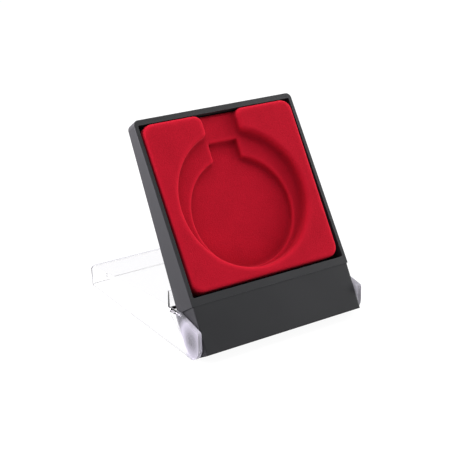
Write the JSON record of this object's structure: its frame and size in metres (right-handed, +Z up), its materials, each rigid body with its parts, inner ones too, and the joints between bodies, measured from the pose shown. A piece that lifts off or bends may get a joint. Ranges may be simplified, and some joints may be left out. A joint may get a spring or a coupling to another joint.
{
  "type": "medal display case",
  "caption": "Small display case for a round medal: moulded tray with a flocked, recessed insert and a clear lid that folds behind as a stand.",
  "frame": {"origin": "middle of the footprint, on the table, with the lid folded behind the tray as a stand", "axes": "+X across the case, to the right as its front is seen; +Y from the label panel towards the lid's free end behind; +Z up"},
  "size_m": [0.0692, 0.0876, 0.0758],
  "materials": {
    "moulded_black": "finely textured black polystyrene",
    "red_flock": "short red flock on a vacuum-formed sheet",
    "clear_plastic": "polished clear polystyrene"
  },
  "bodies": {
    "tray": {"base_tray": "moulded_black", "flocked_insert": "red_flock"},
    "lid": {"clear_lid": "clear_plastic"}
  },
  "joints": [
    {"name": "lid_hinge", "type": "hinge", "parent": "tray", "child": "lid", "pos_m": [0, -0.03565, 0.0062], "axis": [-1, 0, 0], "range_deg": [0, 296.2]}
  ]
}
